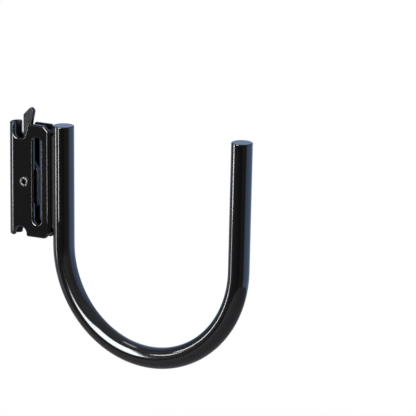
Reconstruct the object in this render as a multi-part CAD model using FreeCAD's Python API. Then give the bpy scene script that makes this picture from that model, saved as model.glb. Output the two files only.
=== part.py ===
import FreeCAD, Part
import math
import os

# Utility J-hook with a spring latch, sizes in millimetres.
# X runs across the hook, +Y points to the wall rail and +Z up.
# The origin is the rail seat: X = 0 is the middle of the housing, Y = 0 the middle of the rail sheet,
# and Z = 0 the crown of the lower notch, which rests on the lower edge of the slot in the rail.

# Housing, one sheet folded double round the back
sheet = 2.4
housing_width = 11.2
housing_depth = 34.2
front_bend_inside = 0.4
front_seam = 0.4
neck_height = 60.2
upper_tooth = 10.0
lower_tooth = 6.1
rail_gap = 4.6
tooth_land = 0.15
rim_round = 1.1

# Openings and corners of the cheeks, seen from the side
upper_notch_floor = 7.8
upper_notch_slant = 3.2
upper_notch_corner = 3.0
lower_notch_width = 9.1
shoulder_round = 1.4
tooth_round = 1.2
corner_cut = 4.8
corner_cut_round = 2.4
slot_width = 6.4
slot_setback = 10.6
slot_rise = 2.8
slot_top_margin = 8.4

# Hook, a round bar bent to a J
rod_diameter = 14.3
bend_radius = 68.8
rod_rise = 1.1
straight_leg = 80.0
tip_leg = 87.2
tip_lean = 1.8
rod_end_break = 0.6

# Weld beads between the housing and the bar
bead_heel_angle = 30.0
bead_toe_angle = 66.0
bead_crown = 0.5
bead_top_margin = 0.2
bead_bottom_margin = 1.4

# Pivot rivet, hollow at its set end
pivot_setback = 5.8
pivot_height = 30.8
rivet_diameter = 5.0
rivet_head_diameter = 8.4
rivet_head_height = 1.9
rivet_roll_diameter = 7.3
rivet_roll_height = 1.1
rivet_bore = 2.4
rivet_bore_depth = 6.0

# Latch lever, a stamped plate between the cheeks
lever_thickness = 3.0
lever_edge_round = 0.6
lever_stop_gap = 0.3
pivot_clearance = 0.08
release_angle = 10.0
tab_height = 10.7
tab_bevel = 5.5
tab_tip_width = 2.4
tab_tip_lift = 0.4
tab_tip_reach = 8.4
tab_root_width = 6.4
tab_tip_round = 1.5
arm_width = 7.8
arm_back_setback = 2.6
hub_front = 8.7
hub_back = 6.8
hub_length = 22.0
hub_rise = 7.3
hub_upper_ramp = 7.0
hub_lower_ramp = 4.0
heel_drop = 1.2
heel_length = 9.8
tail_reach = 27.0
tail_height = 3.6
lever_wide_round = 3.0
lever_close_round = 1.0

# Return spring, behind the lower arm of the lever
spring_wire = 0.7
spring_side_gap = 0.5
spring_turns = 5
spring_drop = 13.7
spring_seat_gap = 0.1
spur_gap = 0.7
spur_length = 2.2

# Sizes that follow from the ones above
half_width = housing_width / 2
inner_half = half_width - sheet
front_bend_radius = front_bend_inside + sheet
fold_centre = rail_gap / 2 + tooth_land
back_face = fold_centre + half_width
front_face = back_face - housing_depth
top_edge = neck_height + upper_tooth
bottom_edge = -lower_tooth
rod_radius = rod_diameter / 2
rod_y = front_face - rod_radius
rod_top = top_edge + rod_rise
bend_z = rod_top - straight_leg
pivot_y = -pivot_setback
slot_y = front_face + slot_setback
arm_back = pivot_y + arm_back_setback
spring_radius = inner_half - spring_side_gap
spring_z = pivot_height - spring_drop
through = 4 * housing_width


def vec(x, y, z):
    return FreeCAD.Vector(x, y, z)


def rounded_wire(corners):
    """A closed wire in the YZ plane from (y, z, corner radius) triples."""
    count = len(corners)
    starts = []
    ends = []
    middles = []
    for i, (y, z, radius) in enumerate(corners):
        here = vec(0, y, z)
        before = vec(0, *corners[i - 1][:2])
        after = vec(0, *corners[(i + 1) % count][:2])
        back = (before - here).normalize()
        ahead = (after - here).normalize()
        half_angle = back.getAngle(ahead) / 2
        reach = radius / math.tan(half_angle)
        starts.append(here + back * reach)
        ends.append(here + ahead * reach)
        inward = (back + ahead).normalize()
        middles.append(here + inward * (radius / math.sin(half_angle) - radius))
    edges = []
    for i, (y, z, radius) in enumerate(corners):
        if radius > 0:
            edges.append(Part.Arc(starts[i], middles[i], ends[i]).toShape())
        following = starts[(i + 1) % count]
        if ends[i].distanceToPoint(following) > 1e-6:
            edges.append(Part.LineSegment(ends[i], following).toShape())
    return Part.Wire(Part.__sortEdges__(edges))


def plate(corners, x_low, x_high):
    """A flat plate with the rounded outline, from x_low to x_high."""
    face = Part.Face(rounded_wire(corners))
    face.translate(vec(x_low, 0, 0))
    return face.extrude(vec(x_high - x_low, 0, 0))


def cylinder_x(radius, x_low, x_high, y, z):
    return Part.makeCylinder(radius, x_high - x_low, vec(x_low, y, z), vec(1, 0, 0))


def channel_section(half, front, corner):
    """The plan outline of the channel: round at the back, with two bent corners in front."""
    corner_y = front + corner
    diagonal = corner * math.sqrt(0.5)
    left_bend = vec(-half + corner - diagonal, corner_y - diagonal, 0)
    right_bend = vec(half - corner + diagonal, corner_y - diagonal, 0)
    edges = [
        Part.LineSegment(vec(-half + corner, front, 0), vec(half - corner, front, 0)),
        Part.Arc(vec(half - corner, front, 0), right_bend, vec(half, corner_y, 0)),
        Part.LineSegment(vec(half, corner_y, 0), vec(half, fold_centre, 0)),
        Part.Arc(vec(half, fold_centre, 0), vec(0, fold_centre + half, 0), vec(-half, fold_centre, 0)),
        Part.LineSegment(vec(-half, fold_centre, 0), vec(-half, corner_y, 0)),
        Part.Arc(vec(-half, corner_y, 0), left_bend, vec(-half + corner, front, 0)),
    ]
    return Part.Face(Part.Wire([edge.toShape() for edge in edges]))


def channel():
    """The folded sheet at full height, before its openings are cut."""
    height = top_edge - bottom_edge
    outer = channel_section(half_width, front_face, front_bend_radius)
    inner = channel_section(inner_half, front_face + sheet, front_bend_radius - sheet)
    seam = Part.makeBox(front_seam, 2 * sheet, height, vec(-front_seam / 2, front_face - sheet / 2, 0))
    solid = outer.extrude(vec(0, 0, height)).cut(inner.extrude(vec(0, 0, height))).cut(seam)
    solid.translate(vec(0, 0, bottom_edge))
    return solid


def side_outline():
    """The housing's outline seen from the side, with both notches."""
    notch_back = rail_gap / 2
    upper_front = notch_back - upper_notch_floor
    mouth_front = upper_front - upper_notch_slant
    lower_front = notch_back - lower_notch_width
    lower_round = lower_notch_width / 2
    return [
        (back_face + sheet, top_edge, 0),
        (notch_back, top_edge, tooth_round),
        (notch_back, neck_height, upper_notch_corner),
        (upper_front, neck_height, upper_notch_corner),
        (mouth_front, top_edge, shoulder_round),
        (front_face + corner_cut, top_edge, corner_cut_round),
        (front_face, top_edge - corner_cut, corner_cut_round),
        (front_face - sheet, top_edge - corner_cut, 0),
        (front_face - sheet, bottom_edge + corner_cut, 0),
        (front_face, bottom_edge + corner_cut, corner_cut_round),
        (front_face + corner_cut, bottom_edge, corner_cut_round),
        (lower_front, bottom_edge, shoulder_round),
        (lower_front, 0, lower_round),
        (notch_back, 0, lower_round),
        (notch_back, bottom_edge, tooth_round),
        (back_face + sheet, bottom_edge, 0),
    ]


def slot_cutter():
    """The long round-ended hole through both cheeks."""
    low = slot_rise
    high = top_edge - slot_top_margin
    radius = slot_width / 2
    corners = [
        (slot_y - radius, low, radius),
        (slot_y + radius, low, radius),
        (slot_y + radius, high, radius),
        (slot_y - radius, high, radius),
    ]
    return plate(corners, -through, through)


def is_outer_rim(edge):
    """True for an edge of an opening or end, on the outer skin of the sheet."""
    first, last = edge.ParameterRange
    points = [edge.valueAt(first + (last - first) * k / 4) for k in range(5)]
    skin = 1e-4
    for point in points:
        x = abs(point.x)
        on_cheek = abs(x - half_width) < skin
        on_front = abs(point.y - front_face) < skin
        fold_reach = math.hypot(point.x, point.y - fold_centre)
        on_fold = point.y > fold_centre - skin and abs(fold_reach - half_width) < skin
        bend_x = x - half_width + front_bend_radius
        bend_y = front_face + front_bend_radius - point.y
        bend_reach = math.hypot(bend_x, bend_y)
        on_bend = min(bend_x, bend_y) > -skin and abs(bend_reach - front_bend_radius) < skin
        if not (on_cheek or on_front or on_fold or on_bend):
            return False
    upright = all(point.distanceToLine(points[0], vec(0, 0, 1)) < skin for point in points)
    seams = (fold_centre, front_face + front_bend_radius, front_face)
    return not (upright and any(abs(points[0].y - seam) < skin for seam in seams))


def housing():
    body = channel().common(plate(side_outline(), -through, through))
    body = body.cut(slot_cutter())
    body = body.removeSplitter()
    rim = [edge for edge in body.Edges if is_outer_rim(edge)]
    body = body.makeFillet(rim_round, rim)
    return body.cut(cylinder_x(rivet_diameter / 2, -through, through, pivot_y, pivot_height))


def hook_path():
    """The centreline of the bar, from its top end to its tip."""
    lean = math.radians(tip_lean)
    turn = math.pi - lean
    bend_y = rod_y - bend_radius

    def on_bend(angle):
        return vec(0, bend_y + bend_radius * math.cos(angle), bend_z - bend_radius * math.sin(angle))

    tip_start = on_bend(turn)
    tip_end = tip_start + vec(0, -math.sin(lean), math.cos(lean)) * tip_leg
    edges = [
        Part.LineSegment(vec(0, rod_y, rod_top), on_bend(0)).toShape(),
        Part.Arc(on_bend(0), on_bend(turn / 2), tip_start).toShape(),
        Part.LineSegment(tip_start, tip_end).toShape(),
    ]
    return Part.Wire(edges)


def hook_rod():
    path = hook_path()
    start = vec(0, rod_y, rod_top)
    profile = Part.Wire(Part.makeCircle(rod_radius, start, vec(0, 0, 1)))
    bar = path.makePipeShell([profile], True, False)
    ends = [edge for edge in bar.Edges if is_bar_end(edge)]
    return bar.makeFillet(rod_end_break, ends)


def is_bar_end(edge):
    """True for the rim of the bar's top end or its tip."""
    centre = edge.CenterOfMass
    closed = edge.isClosed() and abs(edge.Length - math.pi * rod_diameter) < 1e-3
    return closed and centre.z > bend_z + 1e-3


def weld_bead(side):
    """One fillet weld, from the bent corner of the housing to the side of the bar."""
    heel_angle = math.radians(bead_heel_angle)
    toe_angle = math.radians(bead_toe_angle)
    heel_x = half_width - front_bend_radius * (1 - math.sin(heel_angle))
    heel_y = front_face + front_bend_radius * (1 - math.cos(heel_angle))
    toe_x = rod_radius * math.sin(toe_angle)
    toe_y = rod_y + rod_radius * math.cos(toe_angle)
    root_y = front_face + front_bend_radius
    low = bottom_edge + corner_cut + bead_bottom_margin
    high = top_edge - corner_cut - bead_top_margin
    heel = vec(side * heel_x, heel_y, low)
    toe = vec(side * toe_x, toe_y, low)
    along = toe - heel
    outward = vec(-along.y, along.x, 0).normalize() * side
    crown = heel + along * 0.5 + outward * bead_crown
    corners = [
        toe,
        vec(0, toe_y, low),
        vec(0, root_y, low),
        vec(side * heel_x, root_y, low),
        heel,
    ]
    edges = [Part.LineSegment(start, end).toShape() for start, end in zip(corners, corners[1:])]
    edges.append(Part.Arc(heel, crown, toe).toShape())
    block = Part.Face(Part.Wire(edges)).extrude(vec(0, 0, high - low))
    skin = channel_section(half_width, front_face, front_bend_radius)
    skin.translate(vec(0, 0, bottom_edge))
    bar = Part.makeCylinder(rod_radius, top_edge - bottom_edge, vec(0, rod_y, bottom_edge))
    bead = block.cut(skin.extrude(vec(0, 0, top_edge - bottom_edge))).cut(bar)
    return max(bead.Solids, key=lambda solid: solid.Volume)


def pivot_rivet():
    """A semi-tubular rivet: domed head on +X, rolled hollow end on -X."""
    head_radius = rivet_head_diameter / 2
    roll_radius = rivet_roll_diameter / 2
    shank_radius = rivet_diameter / 2
    bore_radius = rivet_bore / 2
    left = -half_width
    right = half_width
    tip = left - rivet_roll_height
    lip = rivet_roll_height / 2
    lip_diagonal = lip * (1 - math.sqrt(0.5))
    dome_radius = (rivet_head_height**2 + head_radius**2) / (2 * rivet_head_height)
    dome_centre = right + rivet_head_height - dome_radius
    dome_angle = math.asin(head_radius / dome_radius) / 2
    profile = [
        Part.LineSegment(vec(tip + rivet_bore_depth, 0, 0), vec(right + rivet_head_height, 0, 0)),
        Part.Arc(
            vec(right + rivet_head_height, 0, 0),
            vec(dome_centre + dome_radius * math.cos(dome_angle), 0, dome_radius * math.sin(dome_angle)),
            vec(right, 0, head_radius),
        ),
        Part.LineSegment(vec(right, 0, head_radius), vec(right, 0, shank_radius)),
        Part.LineSegment(vec(right, 0, shank_radius), vec(left, 0, shank_radius)),
        Part.LineSegment(vec(left, 0, shank_radius), vec(left, 0, roll_radius - lip)),
        Part.Arc(
            vec(left, 0, roll_radius - lip),
            vec(left - lip, 0, roll_radius),
            vec(tip, 0, roll_radius - lip),
        ),
        Part.LineSegment(vec(tip, 0, roll_radius - lip), vec(tip, 0, bore_radius + lip)),
        Part.Arc(
            vec(tip, 0, bore_radius + lip),
            vec(tip + lip_diagonal, 0, bore_radius + lip_diagonal),
            vec(tip + lip, 0, bore_radius),
        ),
        Part.LineSegment(vec(tip + lip, 0, bore_radius), vec(tip + rivet_bore_depth, 0, bore_radius)),
        Part.LineSegment(vec(tip + rivet_bore_depth, 0, bore_radius), vec(tip + rivet_bore_depth, 0, 0)),
    ]
    face = Part.Face(Part.Wire([edge.toShape() for edge in profile]))
    rivet = face.revolve(vec(0, 0, 0), vec(1, 0, 0), 360)
    rivet.translate(vec(0, pivot_y, pivot_height))
    return rivet


def fold_reach(half):
    """How far back a piece of this half width can reach inside the fold."""
    return fold_centre + math.sqrt(inner_half**2 - half**2)


def lever_outline():
    """The lever's outline seen from the side, latched, without its spring spur."""
    back = -rail_gap / 2
    heel = fold_reach(lever_thickness / 2) - lever_stop_gap
    heel_top = neck_height - heel_drop
    tab_top = top_edge + tab_height
    arm_front = back - arm_width
    hub_front_y = pivot_y - hub_front
    hub_back_y = pivot_y + hub_back
    hub_top = pivot_height + hub_rise
    hub_bottom = hub_top - hub_length
    tail_bottom = pivot_height - tail_reach
    tail_heel = heel - tail_reach * math.sin(math.radians(release_angle))
    wide = lever_wide_round
    close = lever_close_round
    return [
        (back, tab_top - tab_bevel, tab_tip_round),
        (back - tab_tip_reach + tab_tip_width, tab_top + tab_tip_lift, tab_tip_round),
        (back - tab_tip_reach, tab_top - tab_tip_width, tab_tip_round),
        (back - tab_root_width, top_edge - close, wide),
        (arm_front, neck_height, wide),
        (arm_front, hub_top + hub_upper_ramp, wide),
        (hub_front_y, hub_top, wide),
        (hub_front_y, hub_bottom, 2 * close),
        (arm_front, hub_bottom - hub_lower_ramp, 2 * close),
        (arm_front, tail_bottom, wide),
        (tail_heel, tail_bottom, close),
        (tail_heel, tail_bottom + tail_height, close),
        (arm_back, tail_bottom + tail_height + close, close),
        (arm_back, spring_z + spring_radius + spring_side_gap, close),
        (hub_back_y, pivot_height - wide, wide),
        (hub_back_y, pivot_height + hub_upper_ramp, wide),
        (heel, heel_top - heel_length, close),
        (heel, heel_top, close),
        (back, heel_top, close),
    ]


def latch_lever():
    """The lever plate, with a round spur that holds the spring."""
    half = lever_thickness / 2
    lever = plate(lever_outline(), -half, half)
    edges = [edge for edge in lever.Edges if abs(abs(edge.CenterOfMass.x) - half) < 1e-6]
    lever = lever.makeFillet(lever_edge_round, edges)
    spur_radius = spring_radius - spring_wire - spur_gap
    spur_start = vec(0, arm_back - half, spring_z)
    spur = Part.makeCylinder(spur_radius, half + spur_length, spur_start, vec(0, 1, 0))
    hole = rivet_diameter / 2 + pivot_clearance
    return lever.fuse(spur).cut(cylinder_x(hole, -through, through, pivot_y, pivot_height))


def latch_spring():
    """A compression spring between the lower arm of the lever and the fold."""
    start = arm_back + spring_seat_gap + spring_wire / 2
    end = fold_reach(spring_radius) - spring_seat_gap - spring_wire / 2
    mean_radius = spring_radius - spring_wire / 2
    pitch = (end - start) / spring_turns
    path = Part.makeHelix(pitch, end - start, mean_radius)
    profile = Part.Wire(Part.makeCircle(spring_wire / 2, vec(mean_radius, 0, 0), vec(0, 1, 0)))
    coil = Part.Wire(path).makePipeShell([profile], True, True)
    coil.rotate(vec(0, 0, 0), vec(1, 0, 0), -90)
    coil.translate(vec(0, start, spring_z))
    return coil


def main():
    os.makedirs("parts", exist_ok=True)
    nodes = {
        "housing": housing(),
        "hook_rod": hook_rod(),
        "weld_bead_left": weld_bead(-1),
        "weld_bead_right": weld_bead(1),
        "pivot_rivet": pivot_rivet(),
        "latch_lever": latch_lever(),
        "latch_spring": latch_spring(),
    }
    for name, shape in nodes.items():
        shape.exportStep(os.path.join("parts", name + ".step"))
        print(name, "valid" if shape.isValid() else "NOT VALID", len(shape.Solids), round(shape.Volume, 1))


main()
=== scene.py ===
# %% [markdown]
# # A garage utility hook in gloss black
# This lesson dresses a finished CAD model. The model gives every size and place, and Blender gives the
# finish, the light and the small forms that a workshop leaves behind: weld ripples, a rolled rivet end and
# a coil spring. Everything is in metres and in the CAD model's own frame.

# %% Load the CAD model as a fixed frame
import math

import bmesh
import bpy
from mathutils import Matrix, Quaternion, Vector, noise


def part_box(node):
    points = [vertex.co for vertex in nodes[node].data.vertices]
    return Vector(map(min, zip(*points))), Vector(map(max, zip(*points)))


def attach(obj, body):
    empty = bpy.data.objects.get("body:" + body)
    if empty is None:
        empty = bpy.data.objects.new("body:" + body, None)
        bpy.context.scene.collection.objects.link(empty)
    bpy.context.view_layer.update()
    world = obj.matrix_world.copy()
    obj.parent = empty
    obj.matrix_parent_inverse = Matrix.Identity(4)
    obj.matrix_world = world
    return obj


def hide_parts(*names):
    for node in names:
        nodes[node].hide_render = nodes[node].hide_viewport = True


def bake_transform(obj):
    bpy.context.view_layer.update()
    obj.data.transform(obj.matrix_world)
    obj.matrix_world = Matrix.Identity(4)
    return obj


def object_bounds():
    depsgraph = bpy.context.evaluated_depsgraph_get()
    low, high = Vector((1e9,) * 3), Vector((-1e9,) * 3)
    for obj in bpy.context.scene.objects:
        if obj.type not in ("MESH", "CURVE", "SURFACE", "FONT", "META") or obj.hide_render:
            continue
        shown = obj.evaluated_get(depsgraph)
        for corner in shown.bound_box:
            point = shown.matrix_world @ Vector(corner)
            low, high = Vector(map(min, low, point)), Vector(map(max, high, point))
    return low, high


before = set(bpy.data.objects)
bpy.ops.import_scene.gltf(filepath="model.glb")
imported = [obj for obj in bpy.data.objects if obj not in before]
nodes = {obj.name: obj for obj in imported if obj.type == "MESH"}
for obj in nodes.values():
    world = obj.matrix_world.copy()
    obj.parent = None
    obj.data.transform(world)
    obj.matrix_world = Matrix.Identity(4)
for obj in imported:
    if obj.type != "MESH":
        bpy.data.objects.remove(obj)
cad_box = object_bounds()
mm = 0.001
print("nodes:", ", ".join(sorted(nodes)))

# %% [markdown]
# ## The camera
# The picture was taken with a long lens: the two legs of the bar look equally thick although one is
# nearer. A camera that far away is easiest to place by angles. It looks at one known point, the middle of
# the bar's rear end, and is then moved sideways until that point falls where the picture has it.

# %% Place the camera
image_side = 416
sensor = 36.0
camera_azimuth = math.radians(57.1)
camera_fall = math.radians(12.7)
camera_roll = math.radians(-0.12)
camera_distance = 9.0
focal_pixels = 13626
target = Vector((0.0, -33.3, 71.3)) * mm
target_right = -95.5 * mm
target_up = 54.6 * mm


def turned(azimuth, elevation):
    """A direction from the object, by its angle round +Z from -Y towards +X, and above the horizon."""
    flat = math.cos(elevation)
    return Vector((math.sin(azimuth) * flat, -math.cos(azimuth) * flat, math.sin(elevation)))


look = -turned(-camera_azimuth, camera_fall)
level_right = Vector((math.cos(camera_azimuth), -math.sin(camera_azimuth), 0.0))
level_up = level_right.cross(look)
camera_right = level_right * math.cos(camera_roll) + level_up * math.sin(camera_roll)
camera_up = level_up * math.cos(camera_roll) - level_right * math.sin(camera_roll)
camera_place = target - camera_right * target_right - camera_up * target_up - look * camera_distance

lens = bpy.data.cameras.new("camera")
lens.sensor_width = sensor
lens.lens = focal_pixels / image_side * sensor
lens.clip_start = 0.1
lens.clip_end = 100.0
camera = bpy.data.objects.new("camera", lens)
bpy.context.scene.collection.objects.link(camera)
axes = Matrix((camera_right, camera_up, -look)).transposed()
camera.matrix_world = Matrix.Translation(camera_place) @ axes.to_4x4()
bpy.context.scene.camera = camera
bpy.context.scene.view_settings.view_transform = "Standard"
print("camera at", [round(v, 3) for v in camera_place], "lens", round(lens.lens))

# %% [markdown]
# ## Helpers for materials
# A procedural material is a small graph of nodes. A few helpers keep the graphs readable. The first ones
# make a node and feed its sockets, do arithmetic and mix colours. The others make noise in the object's
# own coordinates, so that the pattern stays on the metal when a piece moves, and spread it over a range.


# %% Define the node helpers
def new_material(name):
    """An empty material with its output and a Principled shader."""
    material = bpy.data.materials.new(name)
    material.use_nodes = True
    tree = material.node_tree
    tree.nodes.clear()
    output = tree.nodes.new("ShaderNodeOutputMaterial")
    shader = tree.nodes.new("ShaderNodeBsdfPrincipled")
    tree.links.new(shader.outputs["BSDF"], output.inputs["Surface"])
    return material, tree, shader


def feed(tree, socket, value):
    """Links the socket to another one, or sets it to a plain value."""
    if isinstance(value, bpy.types.NodeSocket):
        tree.links.new(value, socket)
    else:
        socket.default_value = value


def add_node(tree, kind, **sockets):
    """A node of that kind, with its sockets fed. Underscores in a name stand for spaces."""
    node = tree.nodes.new(kind)
    for name, value in sockets.items():
        feed(tree, node.inputs[name.replace("_", " ")], value)
    return node


def math_node(tree, operation, *values):
    """One step of arithmetic on sockets or numbers."""
    node = tree.nodes.new("ShaderNodeMath")
    node.operation = operation
    for socket, value in zip(node.inputs, values):
        feed(tree, socket, value)
    return node.outputs["Value"]


def opaque(colour, share=1.0):
    """A colour times a share, with the alpha of 1 that a colour socket also takes."""
    return (*[share * c for c in colour], 1.0)


def mix_colours(tree, share, first, second):
    """A colour that goes from the first to the second as the share goes from 0 to 1."""
    node = tree.nodes.new("ShaderNodeMix")
    node.data_type = "RGBA"
    feed(tree, node.inputs[0], share)
    feed(tree, node.inputs["A"], first)
    feed(tree, node.inputs["B"], second)
    return node.outputs["Result"]


# %% Define the pattern helpers
def object_noise(tree, size, detail=3.0):
    """Noise with spots of about that size, fixed to the piece."""
    place = tree.nodes.new("ShaderNodeTexCoord").outputs["Object"]
    return add_node(tree, "ShaderNodeTexNoise", Vector=place, Scale=1.0 / size, Detail=detail).outputs["Fac"]


def spread(tree, value, low, high, start=0.3, end=0.7):
    """The value spread from low to high between start and end."""
    limits = {"From_Min": start, "From_Max": end, "To_Min": low, "To_Max": high}
    return add_node(tree, "ShaderNodeMapRange", Value=value, **limits).outputs["Result"]


# %% [markdown]
# ## The black coat
# The real hook is dipped and baked: one hard, glossy black film over everything, a little thicker in the
# corners. A film like that is a plain dielectric over black, so its colour is almost nothing and its look
# is all reflection. What makes it believable is small: the gloss wanders a little and the surface has the
# faint waviness of orange peel. Inside the folded housing the film runs thin and dries dull.

# %% Build the coat materials
black = (0.0016, 0.0016, 0.0018)
tint_size = 7 * mm
tint_shares = (0.75, 1.25)
gloss_size = 3 * mm
gloss_shares = (0.85, 1.2)
dull_roughness = 0.65
dull_start = -0.2 * mm
dull_end = 0.1 * mm
cheek_inside = 3.2 * mm


def coat(name, roughness, peel, peel_size=3 * mm, shine=0.5, dull_within=None):
    """Black film: its middle roughness, the height and size of its waviness, and its shine.

    It dries dull within a distance of the middle plane, where one is given.
    """
    material, tree, shader = new_material(name)
    clouds = spread(tree, object_noise(tree, tint_size), 0.0, 1.0)
    tint = mix_colours(tree, clouds, *[opaque(black, share) for share in tint_shares])
    tree.links.new(tint, shader.inputs["Base Color"])
    gloss = spread(tree, object_noise(tree, gloss_size), *[share * roughness for share in gloss_shares])
    if dull_within:
        place = tree.nodes.new("ShaderNodeTexCoord").outputs["Object"]
        aside = add_node(tree, "ShaderNodeSeparateXYZ", Vector=place).outputs["X"]
        edge = (dull_within + dull_start, dull_within + dull_end)
        dull = spread(tree, math_node(tree, "ABSOLUTE", aside), dull_roughness, 0.0, *edge)
        gloss = math_node(tree, "MAXIMUM", gloss, dull)
    tree.links.new(gloss, shader.inputs["Roughness"])
    shader.inputs["Specular IOR Level"].default_value = shine
    height = object_noise(tree, peel_size, 0.0)
    waves = add_node(tree, "ShaderNodeBump", Height=height, Distance=peel, Strength=1.0)
    tree.links.new(waves.outputs["Normal"], shader.inputs["Normal"])
    return material


coats = {
    "housing": coat("housing_coat", 0.09, 0.004 * mm, dull_within=cheek_inside),
    "hook_rod": coat("bar_coat", 0.09, 0.003 * mm),
    "latch_lever": coat("lever_coat", 0.32, 0.004 * mm, shine=0.3),
    "pivot_rivet": coat("rivet_coat", 0.3, 0.004 * mm),
    "weld": coat("weld_coat", 0.4, 0.08 * mm, peel_size=1.1 * mm, shine=0.15),
}
for name in ("housing", "hook_rod", "latch_lever"):
    nodes[name].data.materials.clear()
    nodes[name].data.materials.append(coats[name])
print("coats:", ", ".join(coats))

# %% [markdown]
# ## From mesh to piece
# The weld beads, the rivet and the spring are new pieces that stand in for plainer CAD ones. Each is made
# from one bmesh and ends in the same few steps, so a helper takes them: its faces are turned outwards and
# shaded smooth, and it is told which body it rides on and which finish it takes.


# %% Define the helper that turns a mesh into a piece
def as_piece(bm, name, material, body):
    """Makes the bmesh a smooth object at the origin that rides on a body, if one is given."""
    bmesh.ops.recalc_face_normals(bm, faces=bm.faces)
    mesh = bpy.data.meshes.new(name)
    bm.to_mesh(mesh)
    bm.free()
    for polygon in mesh.polygons:
        polygon.use_smooth = True
    mesh.materials.append(material)
    piece = bpy.data.objects.new(name, mesh)
    bpy.context.scene.collection.objects.link(piece)
    if body:
        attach(piece, body)
    print(name, len(mesh.vertices), "vertices")
    return piece


# %% [markdown]
# ## The weld beads
# A bead is laid as a row of small melted pools, each freezing over the last, so it looks like a stack of
# coins pushed over. A tube that is extruded ring by ring gives that: each ring is a flattened circle, and
# its size goes up and down a little with every pool. The ends taper where the torch starts and stops.

# %% Define the tube that a bead is shaped from
bead_segments = 28
ring_step = 0.25 * mm


def bead_tube(steps):
    """An upright tube of radius 1 with closed ends, extruded ring by ring."""
    bm = bmesh.new()
    bmesh.ops.create_circle(bm, cap_ends=True, radius=1.0, segments=bead_segments)
    cap = bm.faces[:]
    for _ in range(steps):
        grown = bmesh.ops.extrude_face_region(bm, geom=cap)["geom"]
        rim = [v for v in grown if isinstance(v, bmesh.types.BMVert)]
        bmesh.ops.translate(bm, verts=rim, vec=(0.0, 0.0, ring_step))
        old = cap
        cap = [f for f in grown if isinstance(f, bmesh.types.BMFace)]
        if old[0].calc_center_median().z > ring_step / 2:
            bmesh.ops.delete(bm, geom=old, context="FACES_ONLY")
    return bm


# %% Shape the two weld beads
bead_heel = 4.2 * mm
bead_crown = 0.2 * mm
bead_root = 1.3 * mm
bead_overlap = 1.15
pool_pitch = 1.7 * mm
pool_height = 0.05
pool_middle = 0.8
pool_roundness = 0.6
pool_drift = 0.5 * mm
drift_length = 4 * mm
grain_length = 0.9 * mm
grain_across = 3
grain_share = 0.7
taper_length = 2.6 * mm
taper_width = 0.35


def bead(side, node):
    """A rippled bead in the corner between the housing and the bar, side -1 or +1."""
    low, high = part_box(node)
    toe = Vector((max(abs(low.x), abs(high.x)) * side, low.y, 0.0))
    heel = Vector((bead_heel * side, high.y, 0.0))
    along = toe - heel
    outward = Vector((-along.y, along.x, 0.0)).normalized() * side
    middle = (heel + toe) / 2 - outward * bead_root
    half_width = along.length / 2 * bead_overlap
    half_depth = bead_root + bead_crown
    steps = round((high.z - low.z) / ring_step)
    bm = bead_tube(steps)
    for vertex in bm.verts:
        across, out, height = vertex.co
        from_end = min(height, steps * ring_step - height)
        taper = math.sqrt(max(0.0, 1 - max(0.0, 1 - from_end / taper_length) ** 2))
        drift = noise.noise(Vector((across, height / drift_length, side)))
        phase = (height + pool_drift * (across * across + drift)) / pool_pitch
        pool = abs(math.sin(math.pi * phase)) ** pool_roundness
        grain = noise.noise(Vector((across * grain_across, out * grain_across, height / grain_length)))
        swell = 1 + pool_height * (pool - pool_middle + grain_share * grain)
        narrowing = taper_width + (1 - taper_width) * taper
        place = middle + along.normalized() * (across * half_width * narrowing)
        place = place + outward * (out * half_depth * taper * swell)
        vertex.co = (place.x, place.y, low.z + height)
    piece = as_piece(bm, node + "_ripples", coats["weld"], "hook")
    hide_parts(node)


bead(-1, "weld_bead_left")
bead(1, "weld_bead_right")

# %% [markdown]
# ## The rivet
# The rivet is a short steel tube with a domed head. A punch rolls the open end outwards until it grips the
# cheek, and the roll comes out slightly uneven. Half a section, spun round the axis, makes the whole rivet,
# and shallow lobes with a little noise, pressed into the rolled end, make it hand-set.

# %% Draw the rivet's section
rivet_low, rivet_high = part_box("pivot_rivet")
rivet_axis = (rivet_low + rivet_high) / 2
head_height = 1.9 * mm
head_radius = 4.2 * mm
head_start = rivet_high.x - head_height
shank_radius = 2.5 * mm
roll_height = 1.1 * mm
roll_radius = 3.65 * mm
roll_fullness = 0.7
roll_start = rivet_low.x + roll_height
bore_radius = 1.2 * mm
bore_depth = 6.0 * mm
roll_points = 9
dome_points = 9


def rivet_section():
    """Half a section as (x, radius) pairs, from the bottom of the bore to the top of the dome."""
    middle = (bore_radius + roll_radius) / 2
    half = (roll_radius - bore_radius) / 2
    points = [(rivet_low.x + bore_depth, 0.0), (rivet_low.x + bore_depth, bore_radius)]
    for k in range(roll_points):
        turn = math.pi * k / (roll_points - 1)
        out = roll_height * math.sin(turn) ** roll_fullness
        points.append((roll_start - out, middle - half * math.cos(turn)))
    points.append((roll_start, shank_radius))
    points.append((head_start, shank_radius))
    ball = (head_height**2 + head_radius**2) / (2 * head_height)
    widest = math.asin(head_radius / ball)
    for k in range(dome_points):
        turn = widest * (1 - k / (dome_points - 1))
        points.append((head_start + head_height - ball + ball * math.cos(turn), ball * math.sin(turn)))
    return points


section = rivet_section()
print("rivet section:", len(section), "points")

# %% Spin the rivet and make its rolled end uneven
spin_steps = 72
merge_distance = 0.001 * mm
lobes = 6
lobe_turn = 0.8
lobe_height = 0.13 * mm
lobe_pull = 1.6
least_reach = 0.2 * mm
noise_radius = 1.6
noise_layer = 4.0
noise_share = 2


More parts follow.
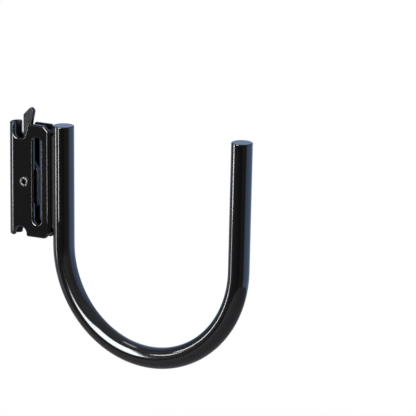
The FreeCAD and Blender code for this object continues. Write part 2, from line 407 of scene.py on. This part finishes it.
def rivet():
    """The section spun round the axis, with lobes pressed into the rolled end."""
    bm = bmesh.new()
    corners = [bm.verts.new((x, 0.0, radius)) for x, radius in section]
    edges = [bm.edges.new(pair) for pair in zip(corners, corners[1:])]
    bmesh.ops.spin(
        bm, geom=corners + edges, cent=(0, 0, 0), axis=(1, 0, 0), angle=2 * math.pi,
        steps=spin_steps, use_merge=True,
    )
    bmesh.ops.remove_doubles(bm, verts=bm.verts, dist=merge_distance)
    for vertex in bm.verts:
        depth = max(0.0, roll_start - vertex.co.x)
        if depth == 0.0:
            continue
        turn = math.atan2(vertex.co.y, vertex.co.z)
        circle = Vector((math.cos(turn) * noise_radius, math.sin(turn) * noise_radius, noise_layer))
        uneven = noise.noise(circle)
        wave = math.cos(lobes * turn + lobe_turn) * lobe_height + uneven * noise_share * lobe_height
        share = depth / roll_height
        vertex.co.x += max(0.0, wave) * share
        reach = math.hypot(vertex.co.y, vertex.co.z)
        inside = 1 - min(1.0, max(0.0, (reach - bore_radius) / (roll_radius - bore_radius)))
        pull = 1 + wave * lobe_pull * inside * share / max(reach, least_reach)
        vertex.co.y *= pull
        vertex.co.z *= pull
    bmesh.ops.translate(bm, verts=bm.verts, vec=(0.0, rivet_axis.y, rivet_axis.z))
    piece = as_piece(bm, "pivot_rivet_rolled", coats["pivot_rivet"], "hook")
    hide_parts("pivot_rivet")


rivet()

# %% [markdown]
# ## The spring
# A coil is a circle carried round an axis while it climbs. The spin operator does both at once. The
# spring's front end moves with the lever and its back end stays in the fold of the housing, but here the
# coil is one fixed piece set between the two. Its wire is bare drawn steel.

# %% Define the spring's material
wire_grain = 0.6 * mm
wire_dark = (0.16, 0.16, 0.165)
wire_light = (0.34, 0.34, 0.345)
wire_roughness = (0.28, 0.42)


def spring_material():
    """Drawn wire: grey metal whose tone and gloss wander in small spots, as under a trace of oil."""
    material, tree, shader = new_material("spring_steel")
    tone = object_noise(tree, wire_grain)
    tint = mix_colours(tree, tone, opaque(wire_dark), opaque(wire_light))
    tree.links.new(tint, shader.inputs["Base Color"])
    shader.inputs["Metallic"].default_value = 1.0
    tree.links.new(spread(tree, tone, *wire_roughness), shader.inputs["Roughness"])
    return material


# %% Build the spring
wire_radius = 0.35 * mm
wire_segments = 12
spring_turns = 5
steps_per_turn = 40


def spring():
    """A circle of wire spun into a coil along Y, set between the housing's fold and the lever."""
    low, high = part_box("latch_spring")
    middle = (low + high) / 2
    coil_radius = (high.x - low.x) / 2 - wire_radius
    travel = (high.y - low.y) - 2 * wire_radius
    bm = bmesh.new()
    start = Vector((middle.x + coil_radius, low.y + wire_radius, middle.z))
    bmesh.ops.create_circle(bm, cap_ends=True, radius=wire_radius, segments=wire_segments)
    bmesh.ops.translate(bm, verts=bm.verts, vec=start)
    steps = spring_turns * steps_per_turn
    bmesh.ops.spin(
        bm, geom=bm.faces[:], cent=middle, axis=(0, 1, 0), dvec=(0, travel / steps, 0),
        angle=2 * math.pi * spring_turns, steps=steps,
    )
    piece = as_piece(bm, "latch_spring_coil", spring_material(), None)
    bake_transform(piece)
    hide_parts("latch_spring")


spring()

# %% [markdown]
# ## The floor
# The hook hangs, so the floor is well below it. It is pale and plain, and where the camera looks at it, it
# glows just enough to reach white outside the shadow.

# %% Build the floor
floor_radius = 0.55
floor_segments = 96
floor_drop = 0.16
floor_colour = (0.6, 0.58, 0.62)
floor_glow = (0.65, 0.66, 0.64)
floor_roughness = 0.9
floor_shine = 0.1


def floor_material():
    """Pale matt card with a glow that only the camera sees."""
    material, tree, shader = new_material("floor")
    shader.inputs["Base Color"].default_value = opaque(floor_colour)
    shader.inputs["Roughness"].default_value = floor_roughness
    shader.inputs["Specular IOR Level"].default_value = floor_shine
    seen = tree.nodes.new("ShaderNodeLightPath").outputs["Is Camera Ray"]
    glow = add_node(tree, "ShaderNodeEmission", Color=opaque(floor_glow), Strength=seen)
    both = tree.nodes.new("ShaderNodeAddShader")
    output = next(n for n in tree.nodes if n.type == "OUTPUT_MATERIAL")
    tree.links.new(shader.outputs["BSDF"], both.inputs[0])
    tree.links.new(glow.outputs["Emission"], both.inputs[1])
    tree.links.new(both.outputs["Shader"], output.inputs["Surface"])
    return material


cad_low, cad_high = cad_box
cad_middle = (cad_low + cad_high) / 2
bm = bmesh.new()
bmesh.ops.create_circle(bm, cap_ends=True, radius=floor_radius, segments=floor_segments)
bmesh.ops.translate(bm, verts=bm.verts, vec=(cad_middle.x, cad_middle.y, cad_low.z - floor_drop))
floor_mesh = bpy.data.meshes.new("floor")
bm.to_mesh(floor_mesh)
bm.free()
floor_mesh.materials.append(floor_material())
floor = bpy.data.objects.new("floor", floor_mesh)
bpy.context.scene.collection.objects.link(floor)
print("floor at height", round(cad_low.z - floor_drop, 3))

# %% [markdown]
# ## The light
# Black gloss is lit by what it mirrors. A wide softbox to the left of the camera lights the hook and makes
# the long highlight low on the bend. A slightly smaller and much brighter one just before it gives that
# highlight its white core, and a small one almost overhead adds a short streak beside it. The last two are
# seen by the gloss alone, because a lamp that is bright enough to show on black would bleach everything
# else.

# %% Place the softboxes
lamp_distance = 1.0
watts_per_radiance = 4.0
neutral = (1.0, 1.0, 1.0)
cool = (0.95, 1.0, 1.06)


def lamp(name, place, away, width, height, radiance, colour, gloss_only=True, lean=0.0):
    """A rectangular lamp at a place that shines against the direction away, leaning by some degrees."""
    light = bpy.data.lights.new(name, "AREA")
    light.shape = "RECTANGLE"
    light.size = width
    light.size_y = height
    light.energy = radiance * watts_per_radiance * light.size * light.size_y
    light.color = colour
    holder = bpy.data.objects.new(name, light)
    holder.location = place
    holder.rotation_mode = "QUATERNION"
    holder.rotation_quaternion = away.to_track_quat("Z", "Y") @ Quaternion((0, 0, 1), math.radians(lean))
    holder.visible_camera = False
    holder.visible_diffuse = not gloss_only
    bpy.context.scene.collection.objects.link(holder)
    print(name, round(width / mm), "by", round(height / mm), "mm, radiance", radiance)


def softbox(name, azimuth, elevation, width, height, radiance, colour, gap=0.0, **more):
    """A lamp at those angles that faces the object. Its size is in degrees too, as the object sees it."""
    away = turned(math.radians(azimuth), math.radians(elevation))
    size = [2 * lamp_distance * math.tan(math.radians(angle) / 2) for angle in (width, height)]
    lamp(name, cad_middle + away * (lamp_distance + gap), away, *size, radiance, colour, **more)


softbox("wide_box", -105, 20, 32, 44, 4.0, neutral, gap=0.02, gloss_only=False)
softbox("wide_box_glow", -105.5, 20, 28, 40, 15.0, cool, lean=-10)
softbox("top_box", -172, 74, 14, 14, 4.0, neutral)

# %% [markdown]
# ## The strips beside the hook
# A thin bright line down an upright edge is the mirror image of a tall narrow card. A card close to the
# hook shows at another angle from each leg, and the line ends where the card ends, so it stops below the
# weld and doesn't run on round the bend. Three cards do it: one close beside the hook, a tall one far behind
# it, and a dimmer one at the tall one's foot.


# %% Place the strips
def strip(name, place, towards, width, height, radiance):
    """A narrow upright lamp at a place in mm, turned to face another, seen by the gloss alone."""
    away = (Vector(place) - Vector(towards)).normalized()
    lamp(name, Vector(place) * mm, away, width * mm, height * mm, radiance, neutral)


strip("near_strip", (-130, 19, 12), (-7, -33, 12), 9.5, 68, 20.0)
strip("far_strip", (-457, 689, 115), (0, -60, 115), 74, 570, 18.0)
strip("far_strip_foot", (-457, 689, -210), (0, -60, -210), 74, 80, 9.0)

# %% [markdown]
# ## The world
# Behind the hook is a bright white sweep with a cool tint, and behind the camera a dark room. Only the
# gloss sees that difference. Two rings of colour hold it: one at the height of the table and one at the
# height of the room, with an even ceiling above. The camera sees white, and matt surfaces get an even fill.

# %% List the colours round the horizon
plain = (1.0, 0.99, 1.03)
blue = (0.65, 0.92, 1.43)
pale_blue = (0.88, 1.0, 1.12)
room_stops = (
    (-180, 0.25, plain), (-150, 0.3, plain), (-125, 0.45, plain), (-85, 0.35, plain), (-55, 0.5, plain),
    (-25, 0.3, plain), (0, 0.45, plain), (8, 1.1, blue), (45, 1.1, blue), (75, 0.8, blue), (90, 0.4, blue),
    (110, 0.8, blue), (132, 0.8, blue), (145, 0.35, blue), (175, 0.25, blue),
)
table_stops = (
    (-180, 0.25, plain), (-165, 0.4, plain), (-150, 1.4, pale_blue), (-138, 0.3, plain),
    (-123, 0.17, plain), (-110, 0.15, plain), (-60, 0.08, plain), (-40, 0.2, plain), (-10, 0.2, plain),
    (0, 1.2, blue), (35, 1.4, blue), (55, 1.0, blue), (85, 1.0, blue), (110, 0.6, blue), (150, 0.3, blue),
)


def ring(tree, azimuth, stops):
    """A colour ramp round the horizon from (degrees, brightness, tint) stops."""
    ramp = add_node(tree, "ShaderNodeValToRGB", Fac=azimuth)
    for k, (degrees, brightness, tint) in enumerate(stops):
        place = (degrees + 180) / 360
        stop = ramp.color_ramp.elements[0] if k == 0 else ramp.color_ramp.elements.new(place)
        stop.position = place
        stop.color = opaque(tint, brightness)
    return ramp.outputs["Color"]


print("stops:", len(room_stops), "for the room and", len(table_stops), "for the table")

# %% Build the world
room_edge = (-10, -4)
ceiling_edge = (25, 45)
ceiling_colour = (0.5, 0.52, 0.6)
matt_fill = (0.45, 0.45, 0.45)
white = (1.0, 1.0, 1.0)
world = bpy.data.worlds.new("studio")
world.use_nodes = True
sky = world.node_tree
sky.nodes.clear()
direction = sky.nodes.new("ShaderNodeTexCoord").outputs["Generated"]
parts = add_node(sky, "ShaderNodeSeparateXYZ", Vector=direction).outputs


def above(edge):
    """0 below the first angle over the horizon and 1 above the second, both in degrees."""
    return spread(sky, parts["Z"], 0.0, 1.0, *[math.sin(math.radians(angle)) for angle in edge])


sweep = math_node(sky, "ARCTAN2", parts["X"], math_node(sky, "MULTIPLY", parts["Y"], -1.0))
azimuth = spread(sky, sweep, 0.0, 1.0, -math.pi, math.pi)
around = mix_colours(sky, above(room_edge), ring(sky, azimuth, table_stops), ring(sky, azimuth, room_stops))
mirrored = mix_colours(sky, above(ceiling_edge), around, opaque(ceiling_colour))
rays = sky.nodes.new("ShaderNodeLightPath").outputs
unseen = mix_colours(sky, rays["Is Glossy Ray"], opaque(matt_fill), mirrored)
seen = mix_colours(sky, rays["Is Camera Ray"], unseen, opaque(white))
background = add_node(sky, "ShaderNodeBackground", Color=seen, Strength=1.0)
output = sky.nodes.new("ShaderNodeOutputWorld")
sky.links.new(background.outputs["Background"], output.inputs["Surface"])
bpy.context.scene.world = world
print("world:", len(sky.nodes), "nodes")
